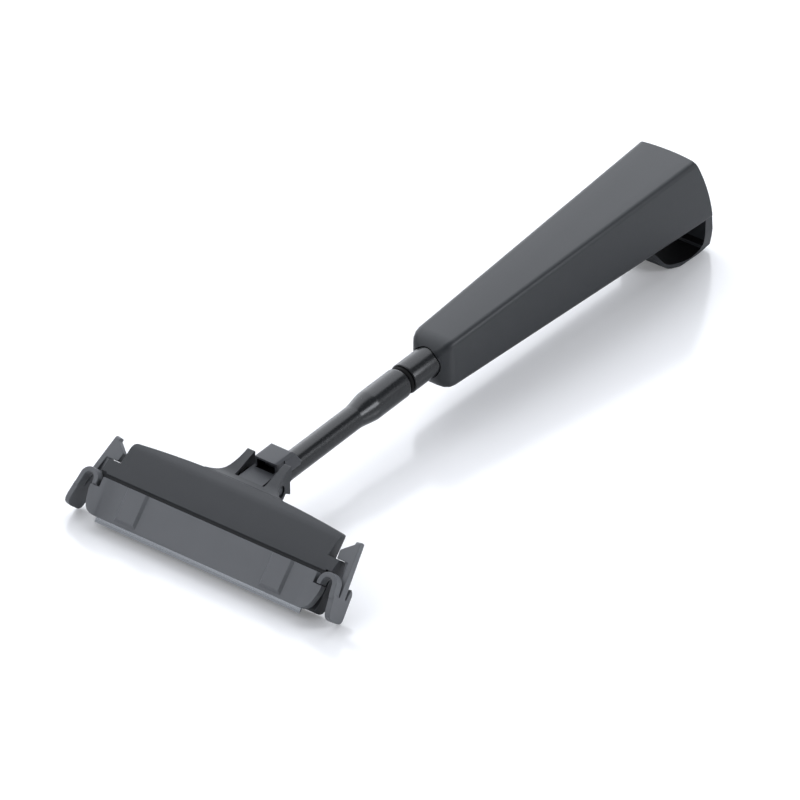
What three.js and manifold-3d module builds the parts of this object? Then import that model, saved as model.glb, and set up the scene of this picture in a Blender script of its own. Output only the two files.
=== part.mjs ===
// Aquarium glass scraper, lying on a surface: a tapered handle with a hanging hook, a plug-in neck,
// a tilting head, a steel blade and the clip that holds the blade with two squeeze levers.
// Millimetres. +X runs across the head, +Y from the blade to the end of the handle, +Z up.
// The sizes count from the surface the tool lies on (z = 0) and from the front of the handle (y = 0).

import * as THREE from 'three';
import { mergeVertices } from 'three/addons/utils/BufferGeometryUtils.js';
import Module from 'manifold-3d';

const wasm = await Module();
wasm.setup();

// Clearances and overruns
const gap = 0.3;
const pinGap = 0.08;
const overrun = 6;
const mergeTolerance = 1e-4;

// Handle
const handleLength = 132;
const handleFrontWidth = 16.8;
const handleRearWidth = 25.3;
const handleFrontBottom = 11.6;
const handleFrontTop = 30.3;
const handleRearBottom = 13;
const handleRearTop = 41;
const handleEdgeRadius = 2.2;
const handleNose = 6.6;
const handleNoseShrink = 4.6;
const handleWall = 1.8;
const handleEndBow = 1.2;
const handleEndBulge = 10.8;
const handleEndBulgeHeight = 9;
const handleEndWall = 5.4;
const baseThickness = 2;
const baseLength = 100;

// Hanging hook under the end of the handle
const hookHeelWidth = 22;
const hookTipWidth = 17.2;
const hookLength = 29.4;
const hookTipHeight = 8.5;
const hookTipThickness = 1.3;
const hookTipRadius = 8;
const hookThickness = 1.6;
const hookHeelRise = 1.7;
const hookHeelRadius = 2.6;
const hookBellyRear = 9.8;
const hookBellyFront = 16.6;
const hookRiseReach = 24;
const hookRiseHeight = 1.6;
const hookEdgeRadius = 1.2;
const hookWaistHeight = 6;

// Screws that hold the base
const screwDiameter = 2.4;
const screwHeadDiameter = 4.6;
const screwHeadHeight = 1.3;
const screwLength = 9;
const screwBossDiameter = 6.4;
const screwFrontPlace = 34;
const screwRearInset = 8;
const screwRearPlace = baseLength - screwRearInset;

// Neck, on an axis that rises towards the handle
const neckRiseDegrees = 3.3;
const neckAxisHeight = 21.8;
const neckThinDiameter = 8.6;
const neckThickDiameter = 11.1;
const neckThinEnd = 46;
const neckThickStart = 37.9;
const neckBore = 5;
const plugDiameter = 8.6;
const plugLength = 13;
const plugBoreDepth = 44;
const ringDiameter = 10.4;
const ringWidth = 1.6;

// Socket tube in the handle, and the pin that keeps it there
const socketDiameter = 11.2;
const socketBore = 9.2;
const socketReach = 18.75;
const socketDepth = 22;
const socketPinDiameter = 2.4;
const socketPinPlace = 18;

// Knuckle at the front of the neck
const knuckleWidth = 10.2;
const knuckleRadius = 5.2;
const knuckleTop = 5.8;
const knuckleRear = 86;
const crownWidth = 10;
const crownFront = 92.7;
const crownRear = 80;
const crownTop = 9.7;
const crownEdgeRadius = 1.6;
const crownRearSlope = 3.8;
const crownCap = 0.8;
const crownRecess = 4.4;
const crownOverhang = 0.4;
const hollowFront = 0.6;
const hollowFloor = 3.8;
const hollowWall = 1.2;
const saddleHeight = 2.5;
const stemDiameter = 5.4;
const stemDepth = 7.2;
const knucklePinDiameter = 1.8;
const knucklePinPlace = 89.5;

// Hinge between the neck and the head
const hingePlace = 96.8;
const hingeOffset = 2.9;
const hingePinDiameter = 2.4;
const hingeRecessDiameter = 4.6;
const hingeRecessDepth = 0.3;
const forkWidth = 18.6;
const forkSlotWidth = 12.6;
const forkRear = 6.4;
const forkTop = 6.9;
const forkBottom = 3.6;
const forkStepHeight = 1.1;
const forkStepDepth = 0.9;
const forkRootWidth = 40;
const forkDipPlace = 4;
const forkDipTop = 2.9;
const forkSlotFront = 4.6;
const washerThickness = 0.6;
const washerDiameter = 7;

// Head body, given in the frame of the blade clip's front face
const clipTopPlace = 121.6;
const clipTopHeight = 15.3;
const clipSlopeDegrees = 49.3;
const bodyLugWidth = 98.6;
const bodySideInset = 4.7;
const bodyWaistInset = 4.9;
const bodyFrontInset = 1.6;
const bodyBackInset = 5.6;
const bodyWidth = bodyLugWidth - bodySideInset * 2;
const bodyWaistWidth = bodyLugWidth - bodyWaistInset * 2;
const bodyLugTop = 6.4;
const bodyHeelReach = 12.9;
const bodyHeelDepth = 8.5;
const bodyHeelRadius = 1;
const bodySeatDepth = 2.75;
const bodyStepReach = 1.2;
const bodyStepDepth = 1.4;
const bodyBendReach = 13.6;
const bodyBendDepth = 5.6;
const bodyRearReach = 17;
const bodyRearDepth = 8.4;
const bodyRearRadius = 0.6;
const bodyBow = 2.5;
const bodyCornerRadius = 1.6;
const bodyHeelCorner = 4.8;
const bodyBackReach = 14;
const bodyBackDepth = 10.1;
const pegDiameter = 3.4;
const pegSpacing = 44;
const pegPlace = 6.2;

// Blade
const bladeWidth = 88;
const bladeThickness = 0.5;
const bladeHeel = 0.8;
const bladeReach = 15;
const bladeBevel = 0.9;

// Blade clip: front plate, springs and levers, placed from the ends of the body's lugs
const plateOverhang = 0.2;
const plateWidth = bodyLugWidth + plateOverhang * 2;
const plateLength = 13.2;
const plateThickness = 2;
const plateCornerRadius = 4.2;
const plateCornerInset = 1.9;
const plateSideRadius = 2.1;
const reliefHeight = 0.9;
const ribInner = 27.4;
const ribOuter = 34.8;
const ribFoot = 1.2;
const ribFootRun = 1;
const endPanelInset = 5.8;
const endPanelSlope = 2;
const endPanelInner = bodyLugWidth / 2 - endPanelInset;
const notchInset = 2.8;
const notchPlace = bodyLugWidth / 2 - notchInset;
const notchWidth = 1.3;
const notchDepth = 3.7;
const springOutset = 1.8;
const springPlace = bodyLugWidth / 2 + springOutset;
const springRadius = 2.9;
const springThickness = 1.8;
const springFront = 1.3;
const springDepth = 3.7;
const springTop = 1.6;
const leverPivotOutset = 5.5;
const leverPivotPlace = bodyLugWidth / 2 + leverPivotOutset;
const leverPivotReach = 6;
const leverLeanDegrees = 9.4;
const leverThickness = 2;
const leverFootReach = 13.35;
const leverFootDepth = 8.4;
const leverFootRadius = 2.2;
const leverFrontRise = 1;
const leverFrontRadius = 3.4;
const leverShoulderReach = 5.2;
const leverTailReach = 14.6;
const leverTailDepth = 6.2;
const leverTailThickness = 2.6;
const leverWaistReach = 0.2;
const leverBulgeReach = 2.4;
const leverBulgeDepth = 10.1;
const leverWaistDepth = 6.9;
const leverSlitReach = 5.2;
const leverSlitDepth = 6.3;
const leverSlitWidth = 0.8;
const leverLipReach = 0.9;
const leverLipDepth = 8.6;
const leverCornerRadius = 0.9;
const leverPadThickness = 1.2;
const leverPadReach = 0.6;
const leverPadDepth = 5.2;
const catchReach = bodyLugTop + gap;
const catchOverlap = 2.3;
const catchInner = bodyLugWidth / 2 - catchOverlap;
const catchTopReach = 10.8;
const catchRootReach = 13.6;
const catchHeight = 2.4;
const catchRise = 2.6;

// Facets: segments round a full circle, and along a rounded corner
const roundSegments = 32;
const fineSegments = 40;
const cornerSegments = 4;
const frontSteps = 5;
const endSteps = 8;
const barrelSegments = 144;

// Shares: places along the size they follow, the power of the end's curve, and the outer edge of
// the unit shape that the handle is stretched from
const halfShare = 0.5;
const endBulgePowerShare = 1.75;
const rimShare = 2;
const forkFootFrontShare = 0.2;
const forkNotchShare = 0.45;
const forkNotchRiseShare = 0.62;
const forkFootRearShare = 0.8;
const forkRootHeightShare = 0.5;

const materials = {
  handlePlastic: material('handlePlastic', 0x3a3c3e, 0.42, 0),
  headPlastic: material('headPlastic', 0x3c3e41, 0.45, 0),
  clipPlastic: material('clipPlastic', 0x66686b, 0.5, 0),
  knucklePlastic: material('knucklePlastic', 0x5c5d60, 0.5, 0),
  neckPlastic: material('neckPlastic', 0x2e3033, 0.28, 0),
  bladeSteel: material('bladeSteel', 0xb9bdc1, 0.25, 1),
  pinSteel: material('pinSteel', 0x77797c, 0.35, 1),
  rubber: material('rubber', 0x0c0c0d, 0.7, 0),
};

function material(name, color, roughness, metalness) {
  const made = new THREE.MeshStandardMaterial({ color, roughness, metalness });
  made.name = name;
  return made;
}

// Solids

function solidOf(geometry) {
  const plain = geometry.clone();
  plain.deleteAttribute('normal');
  plain.deleteAttribute('uv');
  const merged = mergeVertices(plain, mergeTolerance);
  const mesh = new wasm.Mesh({
    numProp: 3,
    vertProperties: new Float32Array(merged.attributes.position.array),
    triVerts: new Uint32Array(merged.index.array),
  });
  return new wasm.Manifold(mesh);
}

function geometryOf(solid) {
  const mesh = solid.getMesh();
  const geometry = new THREE.BufferGeometry();
  const positions = new Float32Array(mesh.vertProperties);
  geometry.setAttribute('position', new THREE.BufferAttribute(positions, 3));
  geometry.setIndex(new THREE.BufferAttribute(new Uint32Array(mesh.triVerts), 1));
  geometry.computeVertexNormals();
  return geometry;
}

function part(name, solid, finish) {
  const mesh = new THREE.Mesh(geometryOf(solid), materials[finish]);
  mesh.name = name;
  return mesh;
}

function joined(solids) {
  return solids.reduce((whole, next) => whole.add(next));
}

// A closed outline through corner points, each corner with its own radius.
function outline(corners) {
  const shape = new THREE.Shape();
  corners.forEach((corner, index) => {
    const before = corners[(index + corners.length - 1) % corners.length];
    const after = corners[(index + 1) % corners.length];
    const here = new THREE.Vector2(corner[0], corner[1]);
    const radius = corner[2] ?? 0;
    const start = towards(here, before, radius);
    const end = towards(here, after, radius);
    if (index === 0) shape.moveTo(start.x, start.y);
    else shape.lineTo(start.x, start.y);
    if (radius > 0) shape.quadraticCurveTo(here.x, here.y, end.x, end.y);
  });
  shape.closePath();
  return shape;
}

function towards(here, other, distance) {
  const target = new THREE.Vector2(other[0], other[1]);
  const reach = Math.min(distance, here.distanceTo(target) * halfShare);
  return here.clone().add(target.sub(here).setLength(reach));
}

// Extrusions: sideways along X from a (y, z) outline, upright along Z from an (x, y) outline,
// and lengthwise along Y from an (x, z) outline.
function extruded(shape, depth, segments = cornerSegments) {
  return new THREE.ExtrudeGeometry(shape, { depth, bevelEnabled: false, curveSegments: segments });
}

function acrossX(shape, fromX, toX, segments) {
  const geometry = extruded(shape, toX - fromX, segments);
  const turn = new THREE.Matrix4().makeBasis(axisY, axisZ, axisX);
  geometry.applyMatrix4(turn);
  geometry.translate(fromX, 0, 0);
  return solidOf(geometry);
}

function acrossZ(shape, fromZ, toZ, segments) {
  const geometry = extruded(shape, toZ - fromZ, segments);
  geometry.translate(0, 0, fromZ);
  return solidOf(geometry);
}

function acrossY(shape, fromY, toY, segments) {
  const geometry = extruded(shape, toY - fromY, segments);
  const turn = new THREE.Matrix4().makeBasis(axisX, axisZ, axisY.clone().negate());
  geometry.applyMatrix4(turn);
  geometry.translate(0, toY, 0);
  return solidOf(geometry);
}

const axisX = new THREE.Vector3(1, 0, 0);
const axisY = new THREE.Vector3(0, 1, 0);
const axisZ = new THREE.Vector3(0, 0, 1);

function rodX(radius, fromX, toX, y, z, segments = roundSegments) {
  const geometry = new THREE.CylinderGeometry(radius, radius, toX - fromX, segments);
  geometry.rotateZ(-Math.PI / 2);
  geometry.translate((fromX + toX) / 2, y, z);
  return solidOf(geometry);
}

function rodZ(radius, fromZ, toZ, x, y, segments = roundSegments) {
  const geometry = new THREE.CylinderGeometry(radius, radius, toZ - fromZ, segments);
  geometry.rotateX(Math.PI / 2);
  geometry.translate(x, y, (fromZ + toZ) / 2);
  return solidOf(geometry);
}

function block(fromX, toX, fromY, toY, fromZ, toZ) {
  const geometry = new THREE.BoxGeometry(toX - fromX, toY - fromY, toZ - fromZ);
  geometry.translate((fromX + toX) / 2, (fromY + toY) / 2, (fromZ + toZ) / 2);
  return solidOf(geometry);
}

// A turned piece on the Y axis: profile points are (radius, y), closed on the axis or on themselves.
function turnedY(profile, segments = roundSegments) {
  const points = profile.map(([radius, y]) => new THREE.Vector2(radius, y));
  return solidOf(new THREE.LatheGeometry(points, segments));
}

function radians(degrees) {
  return THREE.MathUtils.degToRad(degrees);
}

// Handle form: a tapered box with rounded long edges and a rounded nose, set in by an inset,
// its underside lowered by a drop. It runs past the end of the handle, where the barrel cuts it.
function handleForm(inset, drop) {
  const lastStep = frontSteps + 1;
  const shape = new THREE.Shape();
  shape.moveTo(-1, -rimShare);
  shape.lineTo(1, -rimShare);
  shape.absarc(1, -1, 1, -Math.PI / 2, 0);
  shape.lineTo(rimShare, 1);
  shape.absarc(1, 1, 1, 0, Math.PI / 2);
  shape.lineTo(-1, rimShare);
  shape.absarc(-1, 1, 1, Math.PI / 2, Math.PI);
  shape.lineTo(-rimShare, -1);
  shape.absarc(-1, -1, 1, Math.PI, Math.PI + Math.PI / 2);
  const geometry = new THREE.ExtrudeGeometry(shape, {
    depth: 1,
    steps: lastStep,
    bevelEnabled: false,
    curveSegments: cornerSegments,
  });
  const radius = Math.max(handleEdgeRadius - inset, handleEdgeRadius * halfShare);
  const position = geometry.attributes.position;
  for (let index = 0; index < position.count; index += 1) {
    const step = Math.round(position.getZ(index) * lastStep);
    const turn = Math.min(step / frontSteps, 1) * (Math.PI / 2);
    const shrink = handleNoseShrink * (1 - Math.sin(turn));
    const rounded = inset - handleNose + handleNose * (1 - Math.cos(turn));
    const y = step > frontSteps ? handleLength + handleEndBulge + overrun : rounded;
    const halfWidth = handleWidthAt(y) / 2 - inset - shrink;
    const bottom = handleBottomAt(y) + shrink - drop;
    const top = handleTopAt(y) - inset - shrink;
    const middle = (bottom + top) / 2;
    const halfHeight = (top - bottom) / 2;
    const coreX = THREE.MathUtils.clamp(position.getX(index), -1, 1);
    const coreZ = THREE.MathUtils.clamp(position.getY(index), -1, 1);
    const edgeX = position.getX(index) - coreX;
    const edgeZ = position.getY(index) - coreZ;
    const x = coreX * (halfWidth - radius) + edgeX * radius;
    const z = middle + coreZ * (halfHeight - radius) + edgeZ * radius;
    position.setXYZ(index, x, y, z);
  }
  flipFaces(geometry);
  return solidOf(geometry);
}

// Turns the triangles round, for a shape whose outline was swapped from (x, y) to (x, z).
function flipFaces(geometry) {
  const position = geometry.attributes.position;
  for (let index = 0; index < position.count; index += 3) {
    const second = new THREE.Vector3().fromBufferAttribute(position, index + 1);
    const third = new THREE.Vector3().fromBufferAttribute(position, index + 2);
    position.setXYZ(index + 1, third.x, third.y, third.z);
    position.setXYZ(index + 2, second.x, second.y, second.z);
  }
}

function alongHandle(front, rear, y) {
  return front + ((rear - front) * y) / handleLength;
}

function handleWidthAt(y) {
  return alongHandle(handleFrontWidth, handleRearWidth, y);
}

function handleBottomAt(y) {
  return alongHandle(handleFrontBottom, handleRearBottom, y);
}

function handleTopAt(y) {
  return alongHandle(handleFrontTop, handleRearTop, y);
}

// The end of the handle is bowed across and bulges downwards: a turned barrel about an upright
// axis, joined to a block that keeps everything in front of that axis.
function handleEnd(inset) {
  const bowRadius = handleRearWidth ** 2 / (8 * handleEndBow);
  const axisPlace = handleLength - bowRadius;
  const rise = handleRearTop + overrun - handleEndBulgeHeight;
  const profile = [[0, -overrun], [bowRadius + handleEndBulge - inset, -overrun]];
  for (let step = 0; step <= endSteps; step += 1) {
    const height = handleEndBulgeHeight + (rise * step) / endSteps;
    const share = (height - handleEndBulgeHeight) / (handleRearTop - handleEndBulgeHeight);
    profile.push([bowRadius + handleEndBulge * (1 - share ** endBulgePowerShare) - inset, height]);
  }
  profile.push([0, handleRearTop + overrun]);
  const points = profile.map(([radius, z]) => new THREE.Vector2(radius, z));
  const barrel = new THREE.LatheGeometry(points, barrelSegments);
  barrel.rotateX(Math.PI / 2);
  barrel.translate(0, axisPlace, 0);
  const front = block(
    -handleRearWidth, handleRearWidth,
    -handleNose - overrun, axisPlace,
    -overrun, handleRearTop + overrun,
  );
  return solidOf(barrel).add(front);
}

// Hook: the end wall carried on down and then forwards as a lip under the handle. Its side
// outline, its plan and its cross-section are three extrusions, intersected.
function hookSolid() {
  const rear = handleLength + handleEndBulge;
  const inner = rear - handleEndWall;
  const tip = rear - hookLength;
  const top = handleRearBottom + handleEdgeRadius;
  const side = outline([
    [rear + overrun, top],
    [rear + overrun, hookHeelRise + hookHeelRadius],
    [rear - hookHeelRise, hookHeelRise, hookHeelRadius],
    [rear - hookBellyRear, 0, hookHeelRadius],
    [rear - hookBellyFront, 0, hookHeelRadius],
    [rear - hookRiseReach, hookRiseHeight, hookHeelRadius],
    [tip, hookTipHeight],
    [tip + hookTipThickness, hookTipHeight + hookTipThickness * halfShare],
    [rear - hookRiseReach, hookRiseHeight + hookThickness, hookHeelRadius],
    [rear - hookBellyFront, hookThickness, hookHeelRadius],
    [rear - hookBellyRear, hookThickness, hookHeelRadius],
    [inner, hookHeelRise + hookThickness, hookHeelRadius],
    [inner, top],
  ]);
  const heelHalf = hookHeelWidth / 2;
  const endHalf = handleWidthAt(rear) / 2;
  const section = outline([
    [-heelHalf, 0, hookEdgeRadius],
    [heelHalf, 0, hookEdgeRadius],
    [endHalf - hookEdgeRadius * halfShare, hookWaistHeight, hookHeelRadius],
    [endHalf, handleRearBottom],
    [endHalf, top + overrun],
    [-endHalf, top + overrun],
    [-endHalf, handleRearBottom],
    [-endHalf + hookEdgeRadius * halfShare, hookWaistHeight, hookHeelRadius],
  ]);
  const plan = outline([
    [0, tip],
    [hookTipWidth / 2, tip, hookTipRadius],
    [handleRearWidth / 2, inner],
    [handleRearWidth / 2, rear + overrun],
    [-handleRearWidth / 2, rear + overrun],
    [-handleRearWidth / 2, inner],
    [-hookTipWidth / 2, tip, hookTipRadius],
  ]);
  const width = handleRearWidth;
  return acrossX(side, -width, width)
    .intersect(acrossY(section, tip - overrun, rear + overrun))
    .intersect(acrossZ(plan, -overrun, top + overrun))
    .intersect(handleEnd(0));
}

function handleShell() {
  const skin = handleForm(0, 0).intersect(handleEnd(0));
  const cavity = handleForm(handleWall, overrun).intersect(handleEnd(handleEndWall));
  const socketHole = neckPlaced(turnedY([
    [0, -overrun * 2],
    [socketDiameter / 2 + gap, -overrun * 2],
    [socketDiameter / 2 + gap, overrun],
    [0, overrun],
  ]));
  let shell = skin.subtract(cavity);
  for (const place of [screwFrontPlace, screwRearPlace]) {
    const top = handleTopAt(place) - handleWall * halfShare;
    const foot = handleBottomAt(place) + baseThickness + screwHeadHeight + gap;
    const boss = rodZ(screwBossDiameter / 2, foot, top, 0, place);
    const pilot = rodZ(screwDiameter / 2 + gap, foot - overrun, foot + screwLength, 0, place);
    shell = shell.add(boss).subtract(pilot);
  }
  for (const side of [-1, 1]) {
    shell = shell.add(socketBracket(side));
  }
  return shell.add(hookSolid()).subtract(socketHole).subtract(socketPinHole());
}

// A bracket on each side wall takes one end of the socket pin.
function socketBracket(side) {
  const outer = handleWidthAt(socketPinPlace) / 2 - handleWall * halfShare;
  const inner = socketDiameter / 2 + gap;
  const height = neckHeightAt(socketPinPlace);
  const reach = socketPinDiameter;
  const from = Math.min(side * inner, side * outer);
  const to = Math.max(side * inner, side * outer);
  const place = socketPinPlace;
  return block(from, to, place - reach, place + reach, height - reach, height + reach);
}

function socketPinHole() {
  const reach = handleWidthAt(socketPinPlace) / 2 - handleWall;
  const place = socketPinPlace;
  return rodX(socketPinDiameter / 2 + pinGap, -reach, reach, place, neckHeightAt(place));
}

function socketPin() {
  const reach = handleWidthAt(socketPinPlace) / 2 - handleWall - gap;
  const place = socketPinPlace;
  return rodX(socketPinDiameter / 2, -reach, reach, place, neckHeightAt(place));
}

function neckHeightAt(y) {
  return neckAxisHeight + y * Math.tan(radians(neckRiseDegrees));
}

// Base: the flat cover that closes the underside, with a bulkhead in front of the hook.
function handleBase() {
  const form = handleForm(handleWall + gap, 0);
  const rear = baseLength;
  const width = handleRearWidth;
  const sheet = block(-width, width, -overrun, rear, -overrun, handleFrontBottom + baseThickness);
  const bulkhead = block(-width, width, rear - baseThickness, rear, -overrun, handleRearTop);
  let base = form.intersect(sheet.add(bulkhead));
  for (const place of [screwFrontPlace, screwRearPlace]) {
    const bottom = handleBottomAt(place);
    const floor = handleFrontBottom + baseThickness * halfShare;
    const pad = rodZ(screwBossDiameter / 2, floor, bottom + baseThickness + screwHeadHeight, 0, place);
    const headRoom = rodZ(screwHeadDiameter / 2 + gap, -overrun, bottom + screwHeadHeight + gap, 0, place);
    const shaft = rodZ(screwDiameter / 2 + gap, -overrun, bottom + overrun * 2, 0, place);
    base = base.add(pad).subtract(headRoom).subtract(shaft);
  }
  return base;
}

function baseScrew(place) {
  const bottom = handleBottomAt(place) + gap * halfShare;
  const head = rodZ(screwHeadDiameter / 2, bottom, bottom + screwHeadHeight, 0, place);
  const neckStart = bottom + screwHeadHeight * halfShare;
  const shaft = rodZ(screwDiameter / 2, neckStart, bottom + screwLength, 0, place);
  const slim = screwHeadHeight * halfShare * halfShare;
  const long = screwDiameter / 2;
  const deep = bottom + screwHeadHeight * halfShare;
  const slots = [
    block(-long, long, place - slim, place + slim, -overrun, deep),
    block(-slim, slim, place - long, place + long, -overrun, deep),
  ];
  return head.add(shaft).subtract(joined(slots));
}

// The neck's own frame: y runs along its axis, with y = 0 at the front of the handle.
function neckMatrix() {
  const turn = new THREE.Matrix4().makeRotationX(radians(neckRiseDegrees));
  const move = new THREE.Matrix4().makeTranslation(0, 0, neckAxisHeight);
  return move.multiply(turn);
}

function neckPlaced(solid) {
  const geometry = geometryOf(solid);
  geometry.applyMatrix4(neckMatrix());
  return solidOf(geometry);
}

function socketTube() {
  const outer = socketDiameter / 2;
  const bore = socketBore / 2;
  const tube = turnedY([
    [bore, -socketReach],
    [outer, -socketReach],
    [outer, socketDepth],
    [bore, socketDepth],
    [bore, -socketReach],
  ], fineSegments);
  const place = socketPinPlace / Math.cos(radians(neckRiseDegrees));
  return tube.subtract(rodX(socketPinDiameter / 2 + pinGap, -outer - gap, outer + gap, place, 0));
}

function neckTube() {
  const thin = neckThinDiameter / 2;
  const thick = neckThickDiameter / 2;
  const plug = plugDiameter / 2;
  const bore = neckBore / 2;
  const front = -knuckleRear + gap;
  const rear = -socketReach - ringWidth - gap * 2;
  const tube = turnedY([
    [0, front],
    [thin, front],
    [thin, -neckThinEnd],
    [thick, -neckThickStart],
    [thick, rear],
    [plug, rear],
    [plug, plugLength],
    [bore, plugLength],
    [bore, plugLength - plugBoreDepth],
    [0, plugLength - plugBoreDepth],
  ], fineSegments);
  const stem = turnedY([
    [0, front - stemDepth],
    [stemDiameter / 2, front - stemDepth],
    [stemDiameter / 2, front + stemDepth * halfShare],
    [0, front + stemDepth * halfShare],
  ]);
  const pinHole = rodX(knucklePinDiameter / 2 + pinGap, -overrun, overrun, -knucklePinPlace, 0);
  return tube.add(stem).subtract(pinHole);
}

function sealRing() {
  const inner = plugDiameter / 2 + gap;
  const outer = ringDiameter / 2;
  const front = -socketReach - ringWidth - gap;
  const section = outline([
    [inner, front, gap],
    [outer, front, ringWidth * halfShare * halfShare],
    [outer, front + ringWidth, ringWidth * halfShare * halfShare],
    [inner, front + ringWidth, gap],
  ]);
  const points = section.getPoints(cornerSegments);
  const closed = points[0].distanceTo(points[points.length - 1]) < mergeTolerance;
  const profile = closed ? points : [...points, points[0]];
  return solidOf(new THREE.LatheGeometry(profile, fineSegments));
}

// Knuckle: a rounded lug on the hinge pin, a raised crown behind it and a bore for the neck's stem.
function knuckle() {
  const width = knuckleWidth / 2;
  const crown = crownWidth / 2;
  const round = neckThinDiameter / 2;
  const front = -hingePlace - knuckleRadius;
  const lugSide = outline([
    [front, hingeOffset - knuckleRadius],
    [-crownFront, -round],
    [-crownFront, knuckleTop],
    [front, knuckleTop],
  ]);
  const lug = acrossX(lugSide, -width, width).intersect(
    rodX(knuckleRadius, -width, width, -hingePlace, hingeOffset, fineSegments)
      .add(block(-width, width, -hingePlace, -crownFront, -round, knuckleTop)),
  );
  const crownSide = outline([
    [-crownFront - gap, -round],
    [-knuckleRear, -round],
    [-knuckleRear, saddleHeight],
    [-crownRear, saddleHeight],
    [-crownRear, round],
    [-crownRear - crownRearSlope, crownTop, crownEdgeRadius * halfShare],
    [-crownFront, crownTop],
    [-crownFront, knuckleTop],
    [-crownFront - gap, knuckleTop],
  ]);
  const section = new THREE.Shape();
  section.moveTo(-round, 0);
  section.absarc(0, 0, round, Math.PI, Math.PI * 2);
  section.lineTo(crown, round);
  section.lineTo(crown, crownTop - crownEdgeRadius);
  section.quadraticCurveTo(crown, crownTop, crown - crownEdgeRadius, crownTop);
  section.lineTo(-crown + crownEdgeRadius, crownTop);
  section.quadraticCurveTo(-crown, crownTop, -crown, crownTop - crownEdgeRadius);
  section.lineTo(-crown, round);
  section.closePath();
  const plan = outline([
    [-crown, -crownFront, crownEdgeRadius],
    [crown, -crownFront, crownEdgeRadius],
    [crown, -crownRear + overrun],
    [-crown, -crownRear + overrun],
  ]);
  const lower = block(-width, width, -crownFront - overrun, -crownRear, -overrun, knuckleTop);
  const crownBlock = acrossX(crownSide, -width, width)
    .intersect(acrossY(section, -crownFront - overrun, -crownRear + overrun, 8))
    .intersect(acrossZ(plan, knuckleTop - gap, crownTop + overrun).add(lower));
  const bore = turnedY([
    [0, -knuckleRear - stemDepth - gap],
    [stemDiameter / 2 + gap, -knuckleRear - stemDepth - gap],
    [stemDiameter / 2 + gap, -knuckleRear],
    [round + gap, -knuckleRear],
    [round + gap, -crownRear + overrun],
    [0, -crownRear + overrun],
  ]);
  const reach = width + overrun;
  const pinHole = rodX(hingePinDiameter / 2 + pinGap, -reach, reach, -hingePlace, hingeOffset);
  const crossHole = rodX(knucklePinDiameter / 2 + pinGap, -reach, reach, -knucklePinPlace, 0);
  const holes = joined([bore, pinHole, crossHole, ...crownHollows(crown)]);
  return lug.add(crownBlock).subtract(holes);
}

// The hollow behind the lug, under the front of the crown, and what is cut away beside it.
function crownHollows(crown) {
  const front = -crownFront - hollowFront;
  const back = -crownFront + crownRecess;
  const top = crownTop - crownCap;
  const inner = crown - hollowWall;
  const hollow = block(-inner, inner, front, back, hollowFloor, top);
  const wide = crown + overrun;
  const face = block(-wide, wide, front, -crownFront + crownOverhang, knuckleTop, top);
  const sides = [-1, 1].map((side) => {
    const from = side * (crown - crownOverhang);
    const to = side * wide;
    return block(Math.min(from, to), Math.max(from, to), front, back, knuckleTop, top);
  });
  return [hollow, face, ...sides];
}

function knucklePin() {
  const width = neckThinDiameter / 2 - gap;
  return rodX(knucklePinDiameter / 2, -width, width, -knucklePinPlace, 0);
}

function hingePin() {
  const reach = forkWidth / 2;
  return rodX(hingePinDiameter / 2, -reach, reach, 0, 0);
}

function frictionWasher(side) {
  const inner = side * (knuckleWidth / 2 + gap);
  const outer = side * (knuckleWidth / 2 + gap + washerThickness);
  const from = Math.min(inner, outer);
  const to = Math.max(inner, outer);
  const disc = rodX(washerDiameter / 2, from, to, 0, 0);
  return disc.subtract(rodX(hingePinDiameter / 2 + pinGap, from - gap, to + gap, 0, 0));
}

// The hinge pin's own frame, level and centred on the pin.
function hingePoint() {
  return new THREE.Vector3(0, -hingePlace, hingeOffset).applyMatrix4(neckMatrix());
}

// The clip's frame: y runs up its front face, z out of it, and y = z = 0 is its top edge.
function clipMatrix() {
  const turn = new THREE.Matrix4().makeRotationX(radians(clipSlopeDegrees));
  const move = new THREE.Matrix4().makeTranslation(0, -clipTopPlace, clipTopHeight);
  return move.multiply(turn);
}

function clipPlaced(solid) {
  const geometry = geometryOf(solid);
  geometry.applyMatrix4(clipMatrix());
  return solidOf(geometry);
}

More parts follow.
